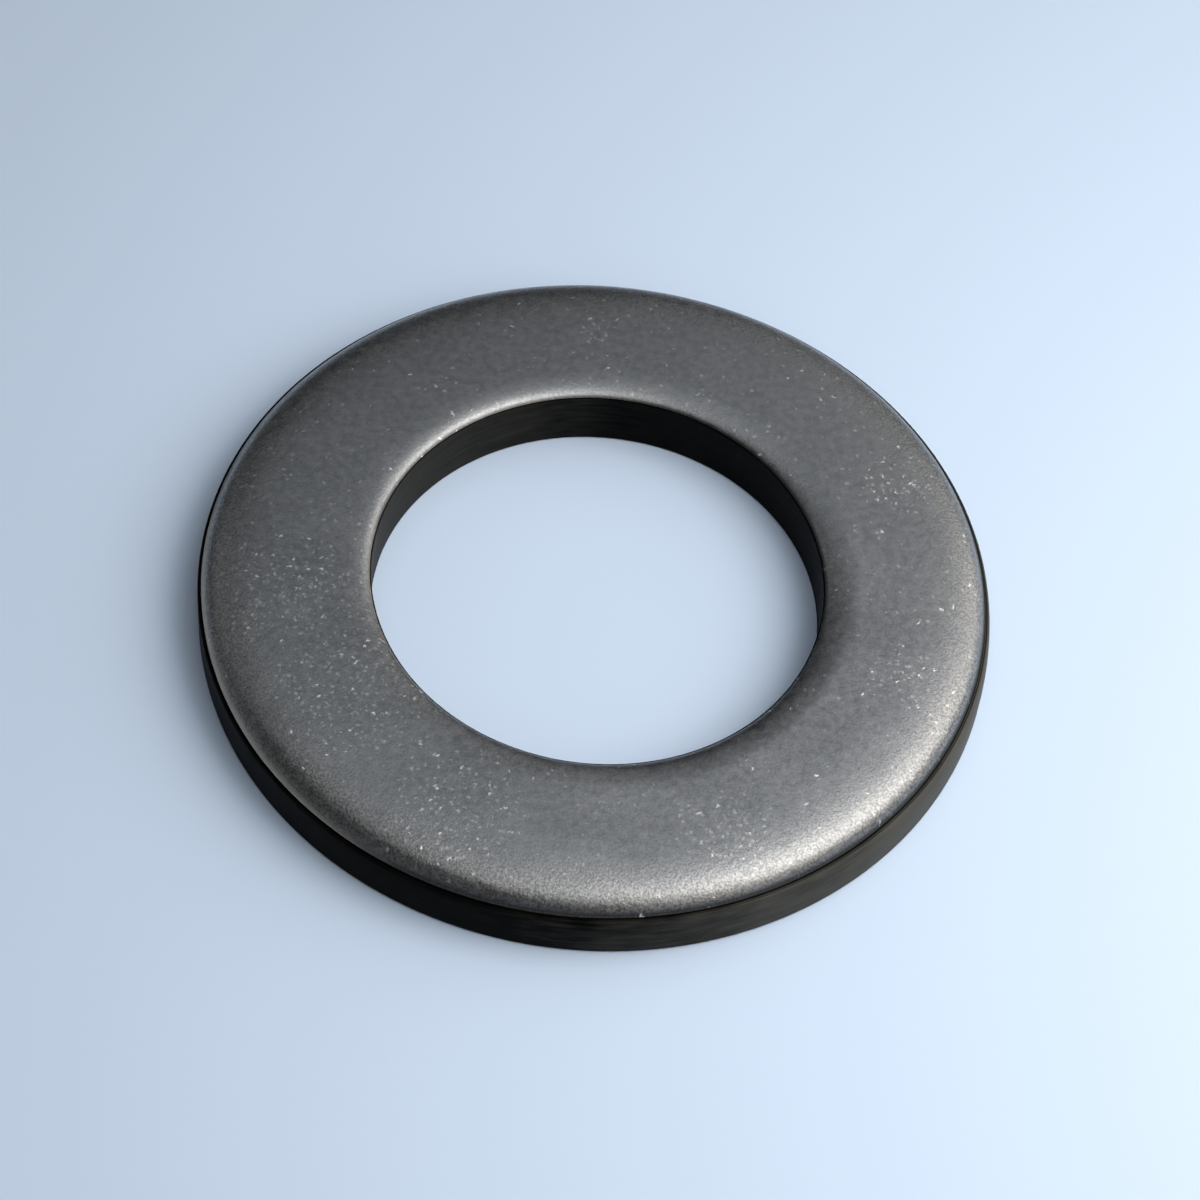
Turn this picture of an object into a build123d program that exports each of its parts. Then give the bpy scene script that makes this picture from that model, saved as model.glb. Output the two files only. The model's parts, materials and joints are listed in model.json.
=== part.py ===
from build123d import *
import os

# Flat washer of the normal series for an M24 bolt: one ring, punched from 4 mm steel strip.
#
# The ring rests on its bottom face in the plane Z = 0, with the axis of its bore on +Z. The punch entered
# from above, so both upper edges are drawn down into a smooth roll, which starts very gently and steepens
# towards the edge. Each roll ends in a fine crease, on the far side of which the straight wall begins with a
# small rounded lip. The wall's bottom edge is broken by tumbling.

# Driving dimensions, in millimetres.
OUTSIDE_DIAMETER = 44.0
BORE_DIAMETER = 25.0
THICKNESS = 4.0

# Each roll is a cubic Bezier curve from the top face to the crease. WIDTH is how far it reaches across the
# face, and DROP how far it has dropped at the crease. HANDLES are its two handles, each as its distance in
# from the crease and its depth below the face.
RIM_ROLL_WIDTH = 5.0
RIM_ROLL_DROP = 1.2
RIM_ROLL_HANDLES = [(1.3, 0), (0.57, 0.32)]
BORE_ROLL_WIDTH = 3.0
BORE_ROLL_DROP = 0.4
BORE_ROLL_HANDLES = [(0.96, 0), (0.37, 0.02)]

# The crease is a V groove. It is as wide as the gap between the roll's end and the lip's start, the lip lies
# a little lower than the roll's end, and the V's bottom lies below the lip by the crease's depth.
RIM_CREASE_WIDTH = 0.1
RIM_CREASE_STEP = 0.12
RIM_CREASE_DEPTH = 0.08
RIM_LIP_RADIUS = 0.07
BORE_CREASE_WIDTH = 0.04
BORE_CREASE_STEP = 0.05
BORE_CREASE_DEPTH = 0.03
BORE_LIP_RADIUS = 0.03

# The radius of both bottom edges.
BOTTOM_EDGE_RADIUS = 0.18

RIM, BORE = 1, -1


def draw_roll(crease_radius, width, drop, handles, side):
    """Draw a roll, level where it leaves the top face, and return its radius there."""
    controls = [(width, 0), *handles, (0, drop)]
    Bezier(*[(crease_radius - side * inward, THICKNESS - depth) for inward, depth in controls])
    return crease_radius - side * width


def draw_crease(wall_radius, roll_end, width, step, depth, lip_radius, side):
    """Draw the V groove at the roll's end and the lip beyond it, and return the lip's lower end."""
    crease_radius = wall_radius - side * (width + lip_radius)
    lip_top = roll_end - step
    lip_bottom = (wall_radius, lip_top - lip_radius)
    Polyline(
        (crease_radius, roll_end),
        (crease_radius + side * width / 4, lip_top - depth),
        (wall_radius - side * lip_radius, lip_top),
    )
    TangentArc((wall_radius - side * lip_radius, lip_top), lip_bottom, tangent=(side, 0))
    return lip_bottom


def draw_wall(wall_radius, lip_bottom, side):
    """Draw the straight wall and its bottom edge, and return the edge's radius at the bottom face."""
    bottom_radius = wall_radius - side * BOTTOM_EDGE_RADIUS
    Line(lip_bottom, (wall_radius, BOTTOM_EDGE_RADIUS))
    TangentArc((wall_radius, BOTTOM_EDGE_RADIUS), (bottom_radius, 0), tangent=(0, -1))
    return bottom_radius


def draw_rim():
    """Draw the section's outer side, and return its radii at the top and the bottom face."""
    wall_radius = OUTSIDE_DIAMETER / 2
    crease_radius = wall_radius - RIM_LIP_RADIUS - RIM_CREASE_WIDTH
    top_radius = draw_roll(crease_radius, RIM_ROLL_WIDTH, RIM_ROLL_DROP, RIM_ROLL_HANDLES, RIM)
    lip_bottom = draw_crease(
        wall_radius,
        THICKNESS - RIM_ROLL_DROP,
        RIM_CREASE_WIDTH,
        RIM_CREASE_STEP,
        RIM_CREASE_DEPTH,
        RIM_LIP_RADIUS,
        RIM,
    )
    return top_radius, draw_wall(wall_radius, lip_bottom, RIM)


def draw_bore():
    """Draw the section's inner side, and return its radii at the top and the bottom face."""
    wall_radius = BORE_DIAMETER / 2
    crease_radius = wall_radius + BORE_LIP_RADIUS + BORE_CREASE_WIDTH
    top_radius = draw_roll(crease_radius, BORE_ROLL_WIDTH, BORE_ROLL_DROP, BORE_ROLL_HANDLES, BORE)
    lip_bottom = draw_crease(
        wall_radius,
        THICKNESS - BORE_ROLL_DROP,
        BORE_CREASE_WIDTH,
        BORE_CREASE_STEP,
        BORE_CREASE_DEPTH,
        BORE_LIP_RADIUS,
        BORE,
    )
    return top_radius, draw_wall(wall_radius, lip_bottom, BORE)


def make_ring():
    """Revolve the ring's section about the bore's axis."""
    with BuildPart() as ring:
        with BuildSketch(Plane.XZ):
            with BuildLine():
                rim_top, rim_bottom = draw_rim()
                bore_top, bore_bottom = draw_bore()
                Line((bore_top, THICKNESS), (rim_top, THICKNESS))
                Line((bore_bottom, 0), (rim_bottom, 0))
            make_face()
        revolve(axis=Axis.Z)
    return ring.part


os.makedirs("parts", exist_ok=True)
export_step(make_ring(), "parts/washer_ring.step")
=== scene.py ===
import json
import math

import bpy
import numpy as np
from mathutils import Matrix, Vector


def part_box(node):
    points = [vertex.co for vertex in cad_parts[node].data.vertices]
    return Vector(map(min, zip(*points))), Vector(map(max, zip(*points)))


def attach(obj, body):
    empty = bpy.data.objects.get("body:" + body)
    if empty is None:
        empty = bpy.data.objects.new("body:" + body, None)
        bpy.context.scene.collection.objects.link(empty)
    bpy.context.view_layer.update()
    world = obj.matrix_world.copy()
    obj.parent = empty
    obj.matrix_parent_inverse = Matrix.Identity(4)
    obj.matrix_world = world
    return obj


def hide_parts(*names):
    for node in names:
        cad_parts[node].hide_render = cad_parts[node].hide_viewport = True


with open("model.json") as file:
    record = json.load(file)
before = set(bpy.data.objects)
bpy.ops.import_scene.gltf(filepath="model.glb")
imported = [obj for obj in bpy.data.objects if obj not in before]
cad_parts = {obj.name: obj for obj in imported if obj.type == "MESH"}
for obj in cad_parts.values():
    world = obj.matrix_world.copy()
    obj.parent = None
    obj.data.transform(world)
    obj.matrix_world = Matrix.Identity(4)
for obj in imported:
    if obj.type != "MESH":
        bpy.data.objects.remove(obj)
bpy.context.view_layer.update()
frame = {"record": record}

MM = 0.001

# The ring's size in millimetres, from the frame.
_, ring_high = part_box("washer_ring")
RIM_RADIUS = ring_high.x / MM
THICKNESS = ring_high.z / MM
MOUNTS = {mount["name"]: mount for mount in frame["record"]["mounts"]}
BORE_RADIUS = MOUNTS["bore"]["dims"]["r_mm"]

# The ring's two upper edges, as in the CAD model, in millimetres. Each roll is a cubic Bezier curve, whose
# controls are distances in from the crease and depths below the top face. The crease is a V groove between
# the roll's end and the lip on top of the wall. The crease sags by sag_share of CREASE_SAG at most.
RIM = {
    "side": 1,
    "wall_radius": RIM_RADIUS,
    "roll": [(5.0, 0.0), (1.3, 0.0), (0.57, 0.32), (0.0, 1.2)],
    "roll_points": 36,
    "crease_width": 0.1,
    "crease_step": 0.12,
    "crease_depth": 0.08,
    "lip_radius": 0.07,
    "sag_share": 1.0,
    "seed": 11,
}
BORE = {
    "side": -1,
    "wall_radius": BORE_RADIUS,
    "roll": [(3.0, 0.0), (0.96, 0.0), (0.37, 0.02), (0.0, 0.4)],
    "roll_points": 26,
    "crease_width": 0.04,
    "crease_step": 0.05,
    "crease_depth": 0.03,
    "lip_radius": 0.03,
    "sag_share": 0.4,
    "seed": 23,
}
BOTTOM_EDGE_RADIUS = 0.18

# How far the real ring strays from the true shape, in millimetres, always down or towards the inside of the
# steel. The waves are whole at the top face and fade out at WAVES_FROM of the thickness.
CREASE_WANDER = 0.03
CREASE_SAG = 0.04
FACE_WAVE = 0.012
WAVELENGTHS = (5.5, 6.5, 8.0, 9.5, 12.0, 16.0)
WAVES_FROM = 0.7

# The tools leaned a little, in millimetres. On one side the bore's roll is deeper, by LEAN_DEPTH at the
# crease, eased out to nothing at LEAN_REACH from it. On one side the rim's wall has a rounded shoulder, and
# its crease lies further in, by LEAN_TAPER at most.
LEAN_DEPTH = 0.2
LEAN_REACH = 1.9
LEAN_TAPER = 0.32
BORE_LEAN_SIDE = math.radians(-8)
RIM_LEAN_SIDE = math.radians(-40)

# The mesh's resolution.
SEGMENTS = 720
TOP_POINTS = 5
BOTTOM_POINTS = 6
GROOVE_POINTS = 3
CORNER_POINTS = 5
WALL_POINTS = 14
SHARP_ANGLE = math.radians(32)

# The mesh's material slots.
FACE, SHEARED = 0, 1

# The relief that is too fine for the mesh, in millimetres: the face's grain, peel and nicks, and the sheared
# wall's streaks and grain.
GRAIN_HEIGHT = 0.026
PEEL_HEIGHT = 0.025
NICK_DEPTH = 0.01
STREAK_HEIGHT = 0.02
WALL_GRAIN_HEIGHT = 0.006

# The places of the top face where most of the nicks are, as X, Y and radius in millimetres.
SCUFFED = [
    (-16.5, -3.5, 4.5),
    (-12.0, -9.5, 5.5),
    (-6.0, -16.5, 4.0),
    (17.0, -5.5, 2.5),
    (16.0, 8.5, 2.5),
    (-1.5, 17.0, 1.5),
    (8.0, -16.0, 2.5),
]

# The kinds of nick. Each cell of a scatter holds one nick or none: share is the chance of one where the face
# is most crowded. bend curves it, and shift sets the scatters apart. The lengths, cell and shift are in
# millimetres, and so is the size of the noise that makes the nicks ragged.
RAGGED_SIZE = 0.11
LONG_NICKS = {
    "cell": 1.4,
    "half_length": 0.17,
    "half_width": 0.06,
    "share": 0.45,
    "bend": 0.5,
    "shift": 3.1,
    "brightness": 1.0,
}
SHORT_NICKS = {
    "cell": 0.7,
    "half_length": 0.11,
    "half_width": 0.07,
    "share": 0.6,
    "bend": 0.0,
    "shift": 41.3,
    "brightness": 1.0,
}
SPECKS = {
    "cell": 0.36,
    "half_length": 0.11,
    "half_width": 0.08,
    "share": 0.95,
    "bend": 0.0,
    "shift": 17.9,
    "brightness": 0.36,
}

# The side of the rim's wall that gets painted light, a paler colour where the key softboxes light it, and the
# opposite side of the bore's wall.
PAINTED_LIGHT_SIDE = math.radians(-15)

# The side towards which the painted shade on the rolls' steep ends gives way to a pale brown.
PALE_END_SIDE = math.radians(208)

# Where each look comes in: it starts at the first distance and is whole at the second. The distances are
# millimetres from the edge's crease into the face. The two ranges for the rolls' ends place painted shade on
# the rolls' steep ends, and the rim's goes up from the lower end of the rim's roll. The three ranges after
# them place painted light on the sheared walls, and BELOW_GROOVE's goes up from the top of the rim's lip.
RIM_SAND = (3.33, 0.0)
BORE_SAND = (1.63, 0.0)
RIM_ROUGH = (4.33, 1.23)
RIM_BURNISH = (0.58, 0.23)
RIM_END_SHADE = (0.4, 0.1)
BORE_END_SHADE = (0.21, 0.03)
RIM_WALL = (0.33, 0.23)
BORE_WALL = (0.03, -0.02)
BELOW_GROOVE = (0.01, -0.02)

# The flat's contrast goes from the first value to the second between these two places along Y.
CONTRAST_PLACES = (-4.0, 12.0)
CONTRAST = (3.3, 1.3)

# The surfaces' colours, as linear red, green, blue and alpha.
FLAT_DARK = (0.225, 0.235, 0.25, 1)
FLAT_PALE = (0.33, 0.34, 0.352, 1)
SAND_DARK = (0.16, 0.154, 0.145, 1)
SAND_PALE = (0.4, 0.387, 0.365, 1)
# The next colour is painted shade, black on the rolls' steep ends; the one after it is the pale brown that
# these ends get instead towards one side.
ROLL_END_PAINTED_SHADE = (0.045, 0.038, 0.03, 1)
ROLL_END_PALE_BROWN = (0.4, 0.345, 0.28, 1)
NICK_BRIGHT = (0.9, 0.89, 0.87, 1)
WALL_DARK = (0.001, 0.001, 0.001, 1)
WALL_PALE = (0.006, 0.0056, 0.0047, 1)
# The next colour is painted light: the paler tone of the sheared walls where the key softboxes light them.
WALL_PAINTED_LIGHT = (0.085, 0.083, 0.073, 1)
FLOOR_BLUE = (0.65, 0.78, 0.96, 1)
WORLD_GREY = (0.011, 0.011, 0.011, 1)


def crease_radius(edge):
    """The radius of the roll's lower end, where the crease begins."""
    return edge["wall_radius"] - edge["side"] * (edge["crease_width"] + edge["lip_radius"])


def roll_end_height(edge):
    """The height of the roll's lower end."""
    return THICKNESS - edge["roll"][-1][1]


def lip_height(edge):
    """The height of the lip's top, on the other side of the crease."""
    return roll_end_height(edge) - edge["crease_step"]


def line(start, end, count):
    """count points from start towards end, with start and without end."""
    share = np.arange(count)[:, None] / count
    return np.array(start) * (1 - share) + np.array(end) * share


def bezier(controls, count):
    """count points on a cubic Bezier curve, with its start and without its end."""
    t = np.arange(count)[:, None] / count
    a, b, c, d = np.array(controls)
    return (1 - t) ** 3 * a + 3 * (1 - t) ** 2 * t * b + 3 * (1 - t) * t**2 * c + t**3 * d


def quarter(centre, across, down, start, count):
    """count points on a quarter of an ellipse, clockwise from angle start, without the end."""
    angles = start - np.arange(count) / count * math.pi / 2
    return np.array(centre) + np.stack([across * np.cos(angles), down * np.sin(angles)], axis=1)


def with_pull(points, pull):
    """Add a third column to the points: how far each follows the crease when it wanders, from 0 to 1."""
    return np.column_stack([points, np.broadcast_to(pull, len(points))])


def edge_profile(edge):
    """One side of the section, from the top face to the bottom face: the rolled and the sheared points."""
    side, wall = edge["side"], edge["wall_radius"]
    crease, lip_top = crease_radius(edge), lip_height(edge)
    roll = [(crease - side * inward, THICKNESS - depth) for inward, depth in edge["roll"]]
    groove = (crease + side * edge["crease_width"] / 4, lip_top - edge["crease_depth"])
    lip = (wall - side * edge["lip_radius"], lip_top)
    lip_centre = (lip[0], lip_top - edge["lip_radius"])
    lip_size = (side * edge["lip_radius"], edge["lip_radius"])
    foot_centre = (wall - side * BOTTOM_EDGE_RADIUS, BOTTOM_EDGE_RADIUS)
    foot_size = (side * BOTTOM_EDGE_RADIUS, BOTTOM_EDGE_RADIUS)

    count = edge["roll_points"]
    rolled = with_pull(bezier(roll, count), (np.arange(count) / count) ** 2)
    sheared = [
        with_pull(line(roll[-1], groove, GROOVE_POINTS), 1.0),
        with_pull(line(groove, lip, GROOVE_POINTS), np.array([1.0, 0.8, 0.6])),
        with_pull(quarter(lip_centre, *lip_size, math.pi / 2, CORNER_POINTS), 0.3),
        with_pull(line((wall, lip_centre[1]), (wall, BOTTOM_EDGE_RADIUS), WALL_POINTS), 0.0),
        with_pull(quarter(foot_centre, *foot_size, 0.0, CORNER_POINTS), 0.0),
        with_pull(np.array([(foot_centre[0], 0.0)]), 0.0),
    ]
    return rolled, np.concatenate(sheared)


def section():
    """The closed section: its points with their pull, and the surface and the side of each point."""
    rim_rolled, rim_sheared = edge_profile(RIM)
    bore_rolled, bore_sheared = edge_profile(BORE)
    top = with_pull(line(bore_rolled[0, :2], rim_rolled[0, :2], TOP_POINTS), 0.0)
    bottom = with_pull(line(rim_sheared[-1, :2], bore_sheared[-1, :2], BOTTOM_POINTS), 0.0)
    runs = [
        (top, FACE, 0),
        (rim_rolled, FACE, 1),
        (rim_sheared[:-1], SHEARED, 1),
        (bottom, FACE, 0),
        (bore_sheared[:0:-1], SHEARED, -1),
        (np.concatenate([bore_rolled, bore_sheared[:1]])[:0:-1], FACE, -1),
    ]
    points = np.concatenate([run for run, _, _ in runs])
    surfaces = np.concatenate([np.full(len(run), surface) for run, surface, _ in runs])
    sides = np.concatenate([np.full(len(run), side) for run, _, side in runs])
    return points, surfaces, sides


def wander(angles, most, seed):
    """A smooth closed curve of values from 0 to most, one for each angle."""
    harmonics = np.array([2, 3, 5, 8, 13, 21, 34, 55])
    phases = np.random.default_rng(seed).uniform(0, 2 * math.pi, len(harmonics))
    waves = np.sin(np.outer(angles, harmonics) + phases) / np.sqrt(harmonics)
    total = waves.sum(axis=1)
    return most * (total - total.min()) / np.ptp(total)


def face_wave(xs, ys):
    """The shallow waves of the top face, from 0 down to -FACE_WAVE."""
    random = np.random.default_rng(5)
    total = np.zeros_like(xs)
    for wavelength in WAVELENGTHS:
        heading, phase = random.uniform(0, 2 * math.pi, 2)
        across = xs * math.cos(heading) + ys * math.sin(heading)
        total += np.sin(across * 2 * math.pi / wavelength + phase)
    return FACE_WAVE * (total - total.max()) / np.ptp(total)


def towards(angles, side):
    """1 on the given side, falling smoothly to 0 on the opposite side."""
    return ((1 + np.cos(angles - side)) / 2)[:, None] ** 2


def bore_lean(points, angles):
    """How much lower each point lies because the tools leaned, by angle and point."""
    near = np.clip(1 - np.abs(points[:, 0] - crease_radius(BORE)) / LEAN_REACH, 0, 1)
    reach = near**2 * (3 - 2 * near)
    upper = np.clip(points[:, 1] / roll_end_height(BORE), 0, 1)
    return LEAN_DEPTH * towards(angles, BORE_LEAN_SIDE) * reach * upper


def rim_lean(points, angles):
    """How much further in each point lies because the tools leaned, by angle and point."""
    roll_width = RIM["roll"][0][0]
    flat_radius = crease_radius(RIM) - roll_width
    reach = np.clip((points[:, 0] - flat_radius) / roll_width, 0, 1) ** 6
    upper = np.clip(points[:, 1] / roll_end_height(RIM), 0, 1) ** 4
    return LEAN_TAPER * towards(angles, RIM_LEAN_SIDE) * reach * upper


def ring_corners(points, sides):
    """The mesh's corners in millimetres: the section turned about Z, with its edges slightly uneven."""
    angles = np.arange(SEGMENTS) * 2 * math.pi / SEGMENTS
    inward = np.zeros((SEGMENTS, len(points)))
    sag = np.zeros((SEGMENTS, len(points)))
    for edge in (RIM, BORE):
        pull = points[:, 2] * (sides == edge["side"])
        inward += edge["side"] * wander(angles, CREASE_WANDER, edge["seed"])[:, None] * pull
        sag += wander(angles, CREASE_SAG, edge["seed"] + 1)[:, None] * pull * edge["sag_share"]
    radius = points[:, 0] - inward - rim_lean(points, angles)
    height = points[:, 1] - sag - bore_lean(points, angles)
    xs = radius * np.cos(angles)[:, None]
    ys = radius * np.sin(angles)[:, None]
    upper = np.clip((points[:, 1] / THICKNESS - WAVES_FROM) / (1 - WAVES_FROM), 0, 1)
    return np.stack([xs, ys, height + face_wave(xs, ys) * upper], axis=2)


def make_ring_mesh():
    """The ring: the section's points at each step round Z, joined by quads into one closed skin."""
    points, surfaces, sides = section()
    count = len(points)
    corners = ring_corners(points, sides).reshape(-1, 3) * MM
    step, point = np.meshgrid(np.arange(SEGMENTS), np.arange(count), indexing="ij")
    next_step, next_point = (step + 1) % SEGMENTS, (point + 1) % count
    loops = [
        step * count + point,
        step * count + next_point,
        next_step * count + next_point,
        next_step * count + point,
    ]
    quads = np.stack(loops, axis=2).reshape(-1, 4)

    mesh = bpy.data.meshes.new("washer")
    mesh.from_pydata(corners.tolist(), [], quads.tolist())
    mesh.polygons.foreach_set("use_smooth", np.ones(len(quads), bool))
    mesh.polygons.foreach_set("material_index", np.tile(surfaces, SEGMENTS))
    mesh.set_sharp_from_angle(angle=SHARP_ANGLE)
    mesh.update()
    return mesh


class Graph:
    """A material's node tree, with a short call for each kind of node. Lengths are in millimetres."""

    def __init__(self, name):
        self.material = bpy.data.materials.new(name)
        self.material.use_nodes = True
        self.tree = self.material.node_tree
        self.shader = self.tree.nodes["Principled BSDF"]
        place = self.tree.nodes.new("ShaderNodeTexCoord").outputs["Object"]
        self.place = self.vector("MULTIPLY", place, (1 / MM, 1 / MM, 1 / MM))
        self.flat_place = self.vector("MULTIPLY", self.place, (1, 1, 0))

    def add(self, kind, inputs, **settings):
        """A new node, with its inputs linked or set to constants."""
        node = self.tree.nodes.new(kind)
        for name, value in settings.items():
            setattr(node, name, value)
        for key, value in inputs.items():
            self.feed(node.inputs[key], value)
        return node

    def feed(self, socket, value):
        """Link another node's output to the socket, or give the socket a constant."""
        if isinstance(value, bpy.types.NodeSocket):
            self.tree.links.new(value, socket)
        else:
            socket.default_value = value

    def set(self, **sockets):
        """Feed the shader's sockets."""
        for name, value in sockets.items():
            self.feed(self.shader.inputs[name.replace("_", " ")], value)

    def vector(self, operation, first, second=(0, 0, 0)):
        """A vector operation; a length or a dot product is a number."""
        node = self.add("ShaderNodeVectorMath", {0: first, 1: second}, operation=operation)
        return node.outputs["Value" if operation in ("LENGTH", "DOT_PRODUCT") else "Vector"]

    def math(self, operation, *values):
        """An operation on numbers."""
        return self.add("ShaderNodeMath", dict(enumerate(values)), operation=operation).outputs[0]

    def total(self, *parts):
        """The sum of the parts, each a value times its weight."""
        total = 0.0
        for value, weight in parts:
            total = self.math("MULTIPLY_ADD", value, weight, total)
        return total

    def centred(self, value):
        """A noise's value with its middle moved to 0."""
        return self.math("SUBTRACT", value, 0.5)

    def remap(self, value, low, high, to_low, to_high, smooth=False):
        """The value, with low to high stretched onto to_low to to_high and held at both ends."""
        kind = "SMOOTHSTEP" if smooth else "LINEAR"
        inputs = {"Value": value, "From Min": low, "From Max": high, "To Min": to_low, "To Max": to_high}
        return self.add("ShaderNodeMapRange", inputs, interpolation_type=kind).outputs["Result"]

    def mix(self, share, first, second):
        """The first colour with a share of the second."""
        inputs = {0: share, 6: first, 7: second}
        return self.add("ShaderNodeMix", inputs, data_type="RGBA", clamp_factor=True).outputs[2]

    def noise(self, size, place=None, detail=2.0):
        """A noise from 0 to 1, with patches of about the given size."""
        inputs = {"Vector": place or self.place, "Scale": 1 / size, "Detail": detail}
        return self.add("ShaderNodeTexNoise", inputs, noise_dimensions="3D").outputs["Fac"]

    def split(self, vector):
        """The three numbers of a vector or a colour."""
        return self.add("ShaderNodeSeparateXYZ", {"Vector": vector}).outputs

    def height(self):
        """The height above the bottom face."""
        return self.split(self.place)["Z"]

    def inset(self, edge):
        """How far a point lies from the edge's crease, into the face."""
        radius = self.vector("LENGTH", self.flat_place)
        return self.math("MULTIPLY", self.math("SUBTRACT", crease_radius(edge), radius), edge["side"])

    def towards(self, side):
        """The cosine of the angle between the direction out from the axis and the given side."""
        heading = (math.cos(side), math.sin(side), 0)
        return self.vector("DOT_PRODUCT", self.vector("NORMALIZE", self.flat_place), heading)

    def dent(self, height):
        """Give the shader a bump from a height in millimetres."""
        bump = self.add("ShaderNodeBump", {"Height": height, "Distance": MM, "Strength": 1.0})
        self.feed(self.shader.inputs["Normal"], bump.outputs["Normal"])


def crowding(graph):
    """How crowded the nicks are: up to 1 in the scuffed places and low elsewhere."""
    crowd = graph.remap(graph.noise(4.0), 0.4, 0.7, 0.02, 0.22)
    for x, y, reach in SCUFFED:
        away = graph.vector("LENGTH", graph.vector("SUBTRACT", graph.flat_place, (x, y, 0)))
        near = graph.remap(away, 1.2 * reach, 0.3 * reach, 0.0, 1.0, smooth=True)
        crowd = graph.math("MAXIMUM", crowd, near)
    return crowd


def ragged_place(graph, width, shift):
    """Each point's place, warped by a fine noise within the width and moved by the shift."""
    noise = graph.add("ShaderNodeTexNoise", {"Vector": graph.place, "Scale": 1 / RAGGED_SIZE, "Detail": 1.0})
    warp = graph.vector("SUBTRACT", noise.outputs["Color"], (0.5, 0.5, 0.5))
    warp = graph.vector("MULTIPLY", warp, (width, width, 0))
    return graph.vector("ADD", graph.vector("ADD", graph.place, warp), (shift, 2.7 * shift, 0))


def nicks(graph, crowd, cell, half_length, half_width, share, bend, shift, brightness):
    """How bright the nicks are: short bent scars of uneven strength, one to a cell in some cells."""
    place = ragged_place(graph, 3.5 * half_width, shift)
    place = graph.vector("MULTIPLY", place, (1 / cell, 1 / cell, 0))
    cells = graph.add("ShaderNodeTexVoronoi", {"Vector": place, "Scale": 1.0}, voronoi_dimensions="2D")
    turn, chance, strength = graph.split(cells.outputs["Color"])
    away = graph.vector("SUBTRACT", place, cells.outputs["Position"])
    inputs = {"Vector": away, "Angle": graph.math("MULTIPLY", turn, 2 * math.pi)}
    turned = graph.add("ShaderNodeVectorRotate", inputs, rotation_type="Z_AXIS")
    along, across, _ = graph.split(turned.outputs[0])
    curve = graph.math("MULTIPLY", graph.math("POWER", along, 2.0), bend)
    along = graph.math("MULTIPLY", along, cell / half_length)
    across = graph.math("MULTIPLY", graph.math("SUBTRACT", across, curve), cell / half_width)
    reach = graph.vector("LENGTH", graph.add("ShaderNodeCombineXYZ", {"X": along, "Y": across}).outputs[0])
    size = graph.remap(strength, 0.0, 1.0, 0.5, 1.2)
    mask = graph.remap(graph.math("DIVIDE", reach, size), 1.3, 0.3, 0.0, 1.0, smooth=True)
    chosen = graph.math("LESS_THAN", chance, graph.math("MULTIPLY", crowd, share))
    mask = graph.math("MULTIPLY", mask, chosen)
    return graph.math("MULTIPLY", mask, graph.remap(strength, 0.0, 1.0, 0.15 * brightness, brightness))


def all_nicks(graph):
    """How bright the nicks of all kinds are, where the brightest counts."""
    crowd = crowding(graph)
    bright = 0.0
    for kind in (LONG_NICKS, SHORT_NICKS, SPECKS):
        bright = graph.math("MAXIMUM", bright, nicks(graph, crowd, **kind))
    return bright


def flat_colour(graph, smudge, mottle, grain):
    """The blackened flat, a bluish grey, with more contrast on the near side than on the far side."""
    tone = graph.total((smudge, 0.4), (mottle, 0.2), (grain, 0.4))
    contrast = graph.remap(graph.split(graph.place)["Y"], *CONTRAST_PLACES, *CONTRAST)
    share = graph.total((0.5, 1.0), (graph.centred(tone), contrast))
    return graph.mix(share, FLAT_DARK, FLAT_PALE)


def with_sand(graph, colour, near_rim, near_bore, smudge, grain):
    """The colour with the rolls' sandy wear over it, in patches and flecks, less of it at the bore."""
    sand = graph.mix(graph.remap(grain, 0.35, 0.65, 0.0, 1.0), SAND_DARK, SAND_PALE)
    rolled = graph.total((near_rim, 1.0), (near_bore, 0.4))
    worn = graph.math("MULTIPLY", rolled, graph.remap(smudge, 0.3, 0.6, 0.5, 0.8))
    return graph.mix(worn, colour, sand)


def with_painted_end_shade(graph, colour):
    """The colour with painted shade on the steep ends of both rolls: black, giving way to a pale brown
    towards one side.
    """
    above_end = graph.math("SUBTRACT", graph.height(), roll_end_height(RIM))
    rim_end_shade = graph.remap(above_end, *RIM_END_SHADE, 0.0, 0.88, smooth=True)
    bore_end_shade = graph.remap(graph.inset(BORE), *BORE_END_SHADE, 0.0, 0.75, smooth=True)
    black = graph.remap(graph.towards(PALE_END_SIDE), 0.75, 0.98, 1.0, 0.0, smooth=True)
    end_shade_colour = graph.mix(black, ROLL_END_PALE_BROWN, ROLL_END_PAINTED_SHADE)
    return graph.mix(graph.math("MAXIMUM", rim_end_shade, bore_end_shade), colour, end_shade_colour)


def face_relief(graph, near_bore, bright, grain):
    """The face's fine relief: rougher on the rolls, but burnished close to the rim's crease, and nicked."""
    rim_inset = graph.inset(RIM)
    rough = graph.remap(rim_inset, *RIM_ROUGH, 0.2, 0.45, smooth=True)
    burnished = graph.remap(rim_inset, *RIM_BURNISH, 1.0, 0.6, smooth=True)
    amount = graph.total((rough, burnished), (near_bore, 0.15))
    peel = graph.noise(0.3, detail=1.0)
    relief = graph.total((graph.centred(grain), GRAIN_HEIGHT), (graph.centred(peel), PEEL_HEIGHT))
    return graph.total((relief, amount), (bright, -NICK_DEPTH))


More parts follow.
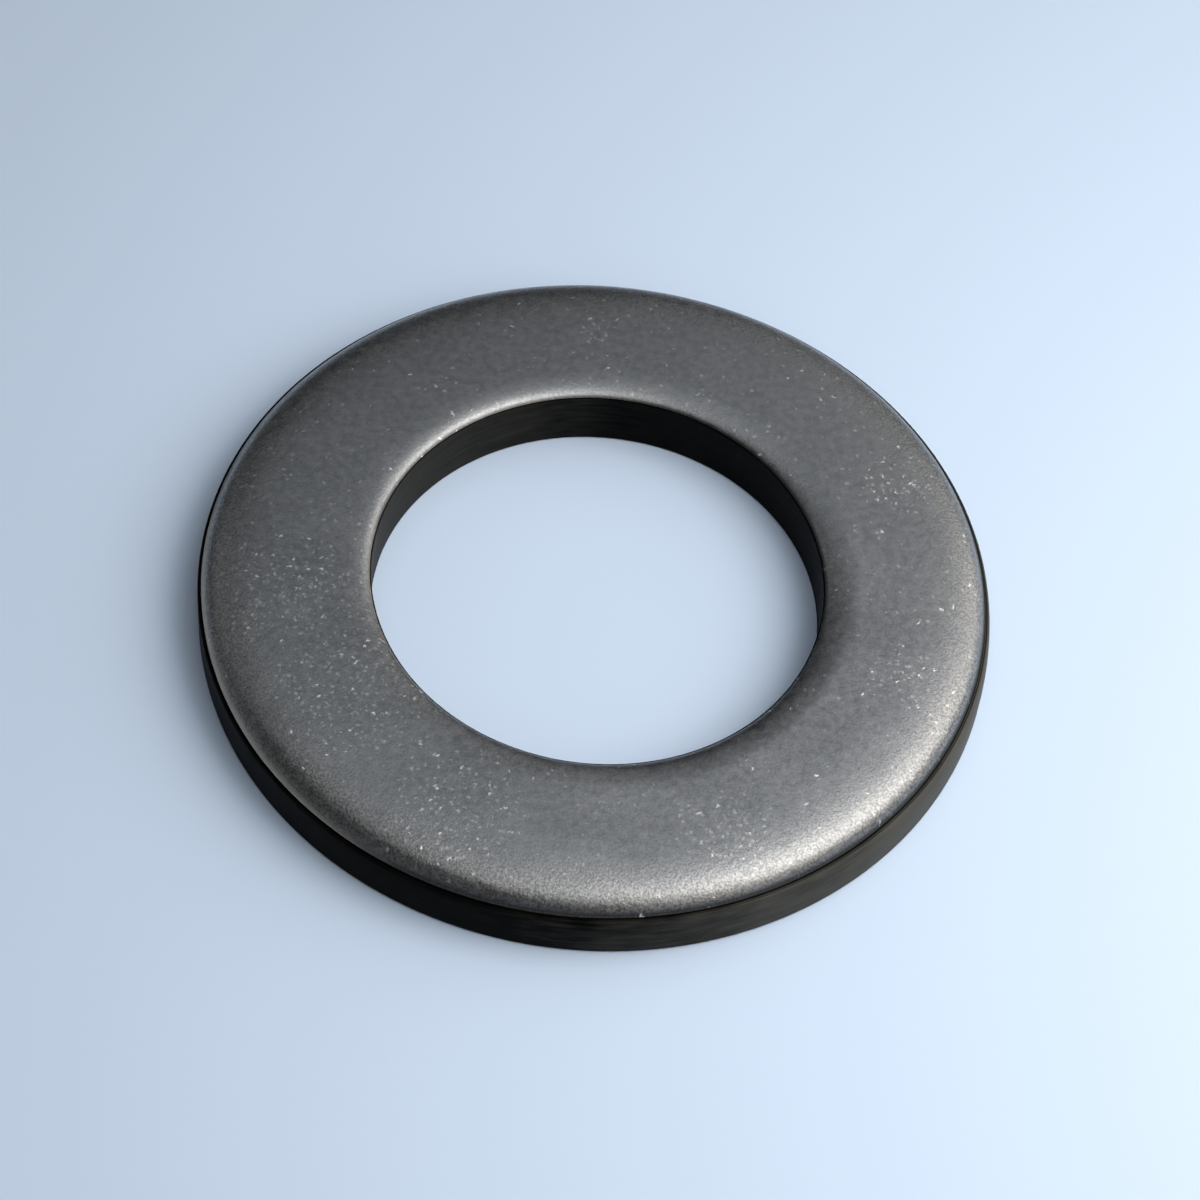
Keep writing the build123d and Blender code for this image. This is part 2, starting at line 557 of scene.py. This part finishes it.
def face_material():
    """Tumbled, blackened steel: fine grain, faint mottling, sandy rolls, small bright nicks and painted shade
    on the rolls' steep ends.
    """
    graph = Graph("black_steel_face")
    smudge = graph.noise(4.0, detail=3.0)
    mottle = graph.noise(0.45)
    grain = graph.noise(0.13, detail=1.0)
    near_rim = graph.remap(graph.inset(RIM), *RIM_SAND, 0.0, 1.0, smooth=True)
    near_bore = graph.remap(graph.inset(BORE), *BORE_SAND, 0.0, 1.0, smooth=True)
    bright = all_nicks(graph)

    colour = flat_colour(graph, smudge, mottle, grain)
    colour = with_sand(graph, colour, near_rim, near_bore, smudge, grain)
    # Painted shade on the rolls' steep ends.
    colour = with_painted_end_shade(graph, colour)
    graph.dent(face_relief(graph, near_bore, bright, grain))
    graph.set(
        Base_Color=graph.mix(bright, colour, NICK_BRIGHT),
        Metallic=1.0,
        Roughness=graph.remap(mottle, 0.3, 0.7, 0.35, 0.45),
    )
    return graph.material


def painted_light_share(graph, tone):
    """How much painted light the sheared walls get, as a paler colour: the rim's towards one side, the bore's
    on the opposite side, and less.
    """
    above_lip = graph.math("SUBTRACT", graph.height(), lip_height(RIM))
    below_groove = graph.remap(above_lip, *BELOW_GROOVE, 0.0, 1.0)
    on_rim = graph.remap(graph.inset(RIM), *RIM_WALL, 0.0, 1.0)
    on_bore = graph.remap(graph.inset(BORE), *BORE_WALL, 0.0, 0.3)
    wall = graph.total((on_rim, below_groove), (on_bore, 1.0))

    outward = graph.remap(graph.inset(RIM), 5.0, 4.0, -1.0, 1.0)
    uneven = graph.remap(tone, 0.3, 0.7, -0.2, 0.2)
    side = graph.total((graph.towards(PAINTED_LIGHT_SIDE), outward), (uneven, 1.0))
    return graph.math("MULTIPLY", graph.remap(side, 0.1, 1.1, 0.0, 1.0, smooth=True), wall)


def sheared_material():
    """The sheared wall: darker than the face, with soft streaks round it from the tool, and painted light on
    the side that faces the key softboxes.
    """
    graph = Graph("black_steel_sheared")
    streaks = graph.noise(0.6, graph.vector("MULTIPLY", graph.place, (0.25, 0.25, 2.2)), 3.0)
    patches = graph.noise(3.0, detail=3.0)
    grain = graph.noise(0.17)
    tone = graph.total((streaks, 0.6), (patches, 0.4))
    colour = graph.mix(graph.remap(tone, 0.35, 0.65, 0.0, 1.0), WALL_DARK, WALL_PALE)
    graph.dent(graph.total((streaks, STREAK_HEIGHT), (grain, WALL_GRAIN_HEIGHT)))
    graph.set(
        # Painted light: the walls paler on the side that the key softboxes light.
        Base_Color=graph.mix(painted_light_share(graph, tone), colour, WALL_PAINTED_LIGHT),
        Metallic=0.0,
        Roughness=graph.remap(streaks, 0.3, 0.7, 0.4, 0.5),
        Specular_IOR_Level=0.02,
    )
    return graph.material


def floor_material():
    """Plain, matt and pale blue."""
    graph = Graph("floor")
    graph.set(Base_Color=FLOOR_BLUE, Metallic=0.0, Roughness=0.7, Specular_IOR_Level=0.2)
    return graph.material


def make_washer():
    """The ring, in place of the CAD model's."""
    mesh = make_ring_mesh()
    mesh.materials.append(face_material())
    mesh.materials.append(sheared_material())
    washer = bpy.data.objects.new("washer", mesh)
    bpy.context.scene.collection.objects.link(washer)
    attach(washer, "root")
    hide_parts("washer_ring")


def make_floor():
    """A wide disc under the ring."""
    bpy.ops.mesh.primitive_circle_add(vertices=96, radius=40 * RIM_RADIUS * MM, fill_type="NGON")
    floor = bpy.context.object
    floor.name = "floor"
    floor.data.materials.append(floor_material())


def make_camera():
    """The camera, with the angles, the distance and the lens that give the photograph's outlines."""
    elevation = math.radians(53.63)
    roll = math.radians(6.3)
    distance = 8.669 * RIM_RADIUS * MM
    aim = Vector((0.246, 0.863, 0)) * MM
    data = bpy.data.cameras.new("camera")
    data.sensor_width = 36
    data.lens = 102.24
    data.clip_start, data.clip_end = 0.01, 10
    camera = bpy.data.objects.new("camera", data)
    camera.location = Vector((0, -math.cos(elevation), math.sin(elevation))) * distance
    look = (aim - camera.location).to_track_quat("-Z", "Y").to_matrix().to_4x4()
    camera.matrix_world = Matrix.Translation(camera.location) @ look @ Matrix.Rotation(roll, 4, "Z")
    bpy.context.scene.collection.objects.link(camera)
    bpy.context.scene.camera = camera


# The softboxes, as discs that face the ring's middle: azimuth and elevation in degrees, distance and diameter
# in metres, power in watts and colour.
WARM = (1.0, 0.97, 0.93)
NEUTRAL = (1.0, 1.0, 1.0)
COOL = (0.92, 0.96, 1.0)
SOFTBOXES = {
    "overhead": (0, 88, 0.25, 0.3, 0.107, COOL),
    "key_back": (30, 35, 0.2, 0.16, 0.07, WARM),
    "key_high": (0, 60, 0.16, 0.14, 0.056, WARM),
    "key_near": (-15, 50, 0.12, 0.1, 0.056, WARM),
    "key_front": (-45, 30, 0.2, 0.14, 0.054, WARM),
    "right_low": (0, 25, 0.2, 0.12, 0.036, NEUTRAL),
    "right_back_low": (30, 15, 0.2, 0.12, 0.034, NEUTRAL),
    "right_far": (60, 30, 0.3, 0.25, 0.05, NEUTRAL),
    "front_high": (-60, 70, 0.2, 0.16, 0.048, NEUTRAL),
    "front": (-70, 45, 0.25, 0.16, 0.027, NEUTRAL),
    "far": (90, 55, 0.3, 0.3, 0.038, COOL),
    "far_left": (150, 35, 0.25, 0.14, 0.017, COOL),
    "left_low": (180, 10, 0.3, 0.2, 0.02, COOL),
    "near_left_low": (225, 20, 0.3, 0.2, 0.009, COOL),
}


def make_softbox(name, azimuth, elevation, distance, diameter, watts, colour):
    """A disc of light that the camera doesn't see."""
    across, up = math.radians(azimuth), math.radians(elevation)
    direction = Vector((math.cos(across) * math.cos(up), math.sin(across) * math.cos(up), math.sin(up)))
    data = bpy.data.lights.new(name, "AREA")
    data.shape = "DISK"
    data.size = diameter
    data.energy = watts
    data.color = colour
    softbox = bpy.data.objects.new(name, data)
    softbox.location = direction * distance
    softbox.rotation_euler = direction.to_track_quat("Z", "Y").to_euler()
    softbox.visible_camera = False
    bpy.context.scene.collection.objects.link(softbox)


def make_world():
    """A dim, even surrounding, and plain tones in the picture."""
    world = bpy.data.worlds.new("world")
    world.use_nodes = True
    world.node_tree.nodes["Background"].inputs["Color"].default_value = WORLD_GREY
    bpy.context.scene.world = world
    bpy.context.scene.view_settings.view_transform = "Standard"


make_washer()
make_floor()
make_camera()
for name, settings in SOFTBOXES.items():
    make_softbox(name, *settings)
make_world()
